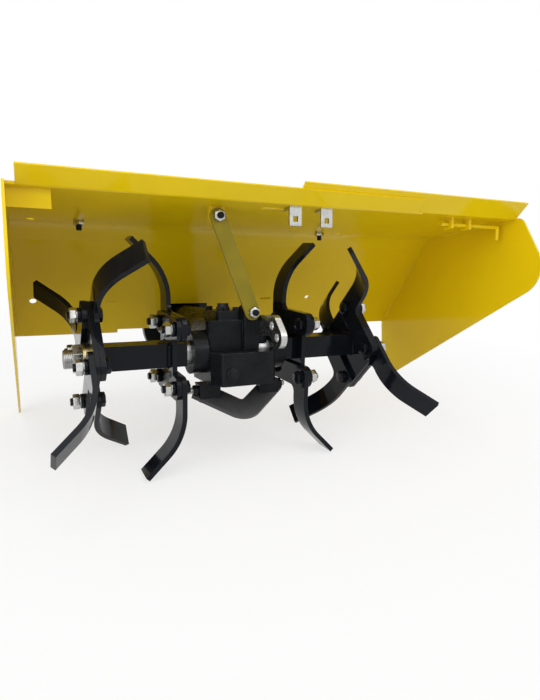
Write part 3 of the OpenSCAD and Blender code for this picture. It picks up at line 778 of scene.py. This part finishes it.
print("ceiling falls", round(math.degrees(math.asin(-fall.z)), 2), "degrees")

# %% [markdown]
# Two bolts hang from the ceiling. The left one is a spare fixing, and the right one clamps the wing to
# the hood. Their round heads sit on top of the sheet, and nuts and dark ends hang below it.

# %% ceiling bolts
LEFT_BOLT_X, RIGHT_BOLT_X, BOLT_Y = -180, 193, 104

round_head = lathe([(0, 4.2), (4, 3.9), (7.5, 2.6), (9.6, 0.8), (9.8, 0), (9.8, -0.4), (0, -0.4)])
bolt_xs = (LEFT_BOLT_X, RIGHT_BOLT_X)
hung_nuts = [(strut_nut, facing(machine, on_ceiling(x, BOLT_Y), -over)) for x in bolt_xs]
hung_ends = [(hanging_end, facing(machine, on_ceiling(x, BOLT_Y, -PAST_NUT), -over)) for x in bolt_xs]
head_spots = (on_ceiling(LEFT_BOLT_X, BOLT_Y, SHEET), on_ceiling(RIGHT_BOLT_X, BOLT_Y, 2 * SHEET))
top_heads = [(round_head, facing(machine, spot, over)) for spot in head_spots]
gather("ceiling_nuts", "frame", "zinc", hung_nuts)
gather("ceiling_bolt_ends", "frame", "black_paint", hung_ends)
gather("ceiling_bolt_heads", "frame", "zinc", top_heads)

# %% [markdown]
# The centre share hangs under the case on two feet. Each foot has a cross bolt whose nut and bright end
# look outwards, and a hexagon under the share's arm.

# %% share bolts
SHARE_TILT = math.radians(41)
FOOT_X, FOOT_Y, FOOT_Z = 56, -11, -49
ARM_X, ARM_Y, ARM_Z = 46, -9.2, -57.6
under_share = Vector((0, math.sin(SHARE_TILT), -math.cos(SHARE_TILT)))

share_nuts, share_heads, share_ends = [], [], []
for side in (-1, 1):
    out = (side, 0, 0)
    end_x = side * (FOOT_X + PAST_NUT)
    share_nuts.append((strut_nut, facing(machine, (side * FOOT_X, FOOT_Y, FOOT_Z), out)))
    share_heads.append((blade_head, facing(machine, (side * ARM_X, ARM_Y, ARM_Z), under_share)))
    share_ends.append((strut_end, facing(machine, (end_x, FOOT_Y, FOOT_Z), out)))
gather("share_nuts", "frame", "black_paint", share_nuts + share_heads)
gather("share_bolt_ends", "frame", "zinc", share_ends)

# %% [markdown]
# Four screws hold the cover on the upper case. They were painted with it, so they take its finish.

# %% cover screws
COVER_TOP = 53
COVER_XS, COVER_YS = (-24, -1), (-11, 35)
UP = (0, 0, 1)

screw_spots = [(x, y, COVER_TOP) for x in COVER_XS for y in COVER_YS]
screws = [(small_head, facing(machine, spot, UP)) for spot in screw_spots]
gather("cover_screws", "frame", "black_casting", screws)

# %% [markdown]
# Welds join the tube to its plates, the lugs to the sheet and the hood to its side plates. A hand-laid
# bead is a bar with ripples where the welder paused, half sunk in the corner it fills. The lathe makes
# it from a wavy profile, and it is laid along a line between two points.

# %% weld beads
RIPPLE_STEP, RIPPLE_TURN = 1.2, 1.1
RIPPLE_LOW, RIPPLE_RISE = 0.82, 0.18
BEAD_END, BEAD_END_SHARE = 0.2, 0.6
BEAD_SIDES, FEWEST_STEPS = 8, 4


def bead(length, radius):
    """A rippled bar with closed ends."""
    steps = max(FEWEST_STEPS, int(length / RIPPLE_STEP))
    wave = []
    for k in range(1, steps):
        swell = RIPPLE_LOW + RIPPLE_RISE * abs(math.sin(RIPPLE_TURN * k))
        wave.append((radius * swell, length * k / steps))
    end_r = BEAD_END_SHARE * radius
    start, finish = [(0, 0), (end_r, BEAD_END)], [(end_r, length - BEAD_END), (0, length)]
    return lathe([*start, *wave, *finish], steps=BEAD_SIDES)


def laid(base, start, end, radius):
    """A bead along a line, as a shape and its place."""
    start, end = Vector(start), Vector(end)
    return bead((end - start).length, radius), facing(base, start, end - start)


print("beads ready")

# %% [markdown]
# The square tube meets each blade plate in four straight corners, so each side of it gets one bead. The
# bead stops short of the tube's edges, where a welder would lift the torch.

# %% tube welds
TUBE_HALF = TUBE_W / 2
TUBE_BEAD_R, TUBE_BEAD_SHORT = 2.6, 2
PLATE_FACES = (-182, -93, 93, 182)

tube_beads = []
for x in PLATE_FACES:
    for k in range(4):
        base = rotor @ Matrix.Rotation(k * QUARTER, 4, "X")
        start = (x, TUBE_BEAD_SHORT - TUBE_HALF, TUBE_HALF)
        end = (x, TUBE_HALF - TUBE_BEAD_SHORT, TUBE_HALF)
        tube_beads.append(laid(base, start, end, TUBE_BEAD_R))
gather("tube_welds", "rotor", "black_paint", tube_beads)

# %% [markdown]
# The front panel slopes from the fold in front of the ceiling down to its hem. A place on it is easiest
# to give as a share of that slope, so it gets a helper of the same kind as the ceiling's.

# %% places on the front panel
FOLD, HEM = Vector((0, 154, 148.9)), Vector((0, 262, 5))
panel_run = HEM - FOLD
out_of_panel = Vector((0, -panel_run.z, panel_run.y)).normalized()


def on_panel(x, along, lift=0):
    """A point of the front panel's inner face, at a share of its length, or one lifted off it."""
    return Vector((x, 0, 0)) + FOLD + panel_run * along + out_of_panel * lift


print("front panel is", round(panel_run.length, 1), "mm long")

# %% [markdown]
# On the hood the beads are stitches with gaps between them, because a long weld would warp thin sheet.
# They follow the ceiling and the front panel inside both ends, and the foot of every lug.

# %% hood welds
LEFT_END, RIGHT_END = -264, 455
CEILING_STITCHES = ((0, 34), (60, 94))
PANEL_STITCHES = ((0.12, 0.32), (0.45, 0.65), (0.75, 0.95))
EAR_XS, EAR_SIDES = (336, 372), (-2, 2)
EAR_REAR, EAR_FRONT = -45, -31
LUG_LEFT, LUG_RIGHT, LUG_Y = -41, -23, -21
STITCH_R, EAR_BEAD_R, LUG_BEAD_R = 2, 1.4, 1.6

stitches = []
for x, lift in ((LEFT_END, 0), (RIGHT_END, SHEET)):
    for y0, y1 in CEILING_STITCHES:
        stitches.append(laid(machine, on_ceiling(x, y0, lift), on_ceiling(x, y1, lift), STITCH_R))
    for s0, s1 in PANEL_STITCHES:
        stitches.append(laid(machine, on_panel(x, s0, lift), on_panel(x, s1, lift), STITCH_R))
for x in [ear_x + ear_side for ear_x in EAR_XS for ear_side in EAR_SIDES]:
    start, end = on_ceiling(x, EAR_REAR, SHEET), on_ceiling(x, EAR_FRONT, SHEET)
    stitches.append(laid(machine, start, end, EAR_BEAD_R))
start, end = on_ceiling(LUG_LEFT, LUG_Y), on_ceiling(LUG_RIGHT, LUG_Y)
stitches.append(laid(machine, start, end, LUG_BEAD_R))
gather("hood_welds", "frame", "yellow_paint", stitches)

# %% [markdown]
# The black saddle over the drive neck is welded to the front panel's outer face along both its sides.

# %% saddle welds
SADDLE_HALF, SADDLE_BEAD_R = 60, 1.7
SADDLE_FROM, SADDLE_TO = 0.4, 0.9

saddle_beads = []
for x in (-SADDLE_HALF, SADDLE_HALF):
    start, end = on_panel(x, SADDLE_FROM, SHEET), on_panel(x, SADDLE_TO, SHEET)
    saddle_beads.append(laid(machine, start, end, SADDLE_BEAD_R))
gather("saddle_welds", "frame", "black_paint", saddle_beads)

# %% [markdown]
# The press left its marks in the sheet: a long stiffening dimple beside the clips, and shallow louvres
# that close the two slots on the left. Each is a block whose upright edges are rounded until its ends
# are half circles, and whose rim is softened as pressed sheet is. It sits half sunk in the sheet.

# %% pressed marks
UPRIGHT = 1
END_ROUND, RIM_ROUND = 0.49, 0.38


def pressed(length, width, height):
    """A low rounded block, lying along X."""
    bm = bmesh.new()
    bmesh.ops.create_cube(bm, size=1)
    bmesh.ops.scale(bm, verts=bm.verts, vec=(length, width, height))
    upright = [edge for edge in bm.edges if rise(edge) > UPRIGHT]
    round_off(bm, upright, END_ROUND * width, segments=8)
    rim = [edge for edge in bm.edges if rise(edge) < LEVEL]
    round_off(bm, rim, RIM_ROUND * height, segments=3)
    return bm


DIMPLE_X, DIMPLE_Y = 51, -33
SLOT_X, SLOT_ALONG, SLOT_Y = -124, 0.61, 112

dimple = pressed(length=52, width=11, height=2.4)
louvre = pressed(length=26, width=10, height=4.4)
dimple_place = facing(machine, on_ceiling(DIMPLE_X, DIMPLE_Y), over)
panel_place = facing(machine, on_panel(SLOT_X, SLOT_ALONG, SHEET), out_of_panel)
ceiling_place = facing(machine, on_ceiling(SLOT_X, SLOT_Y, SHEET), over)
gather("ceiling_dimple", "frame", "yellow_paint", [(dimple, dimple_place)])
gather("slot_louvres", "frame", "yellow_paint", [(louvre, panel_place), (louvre, ceiling_place)])
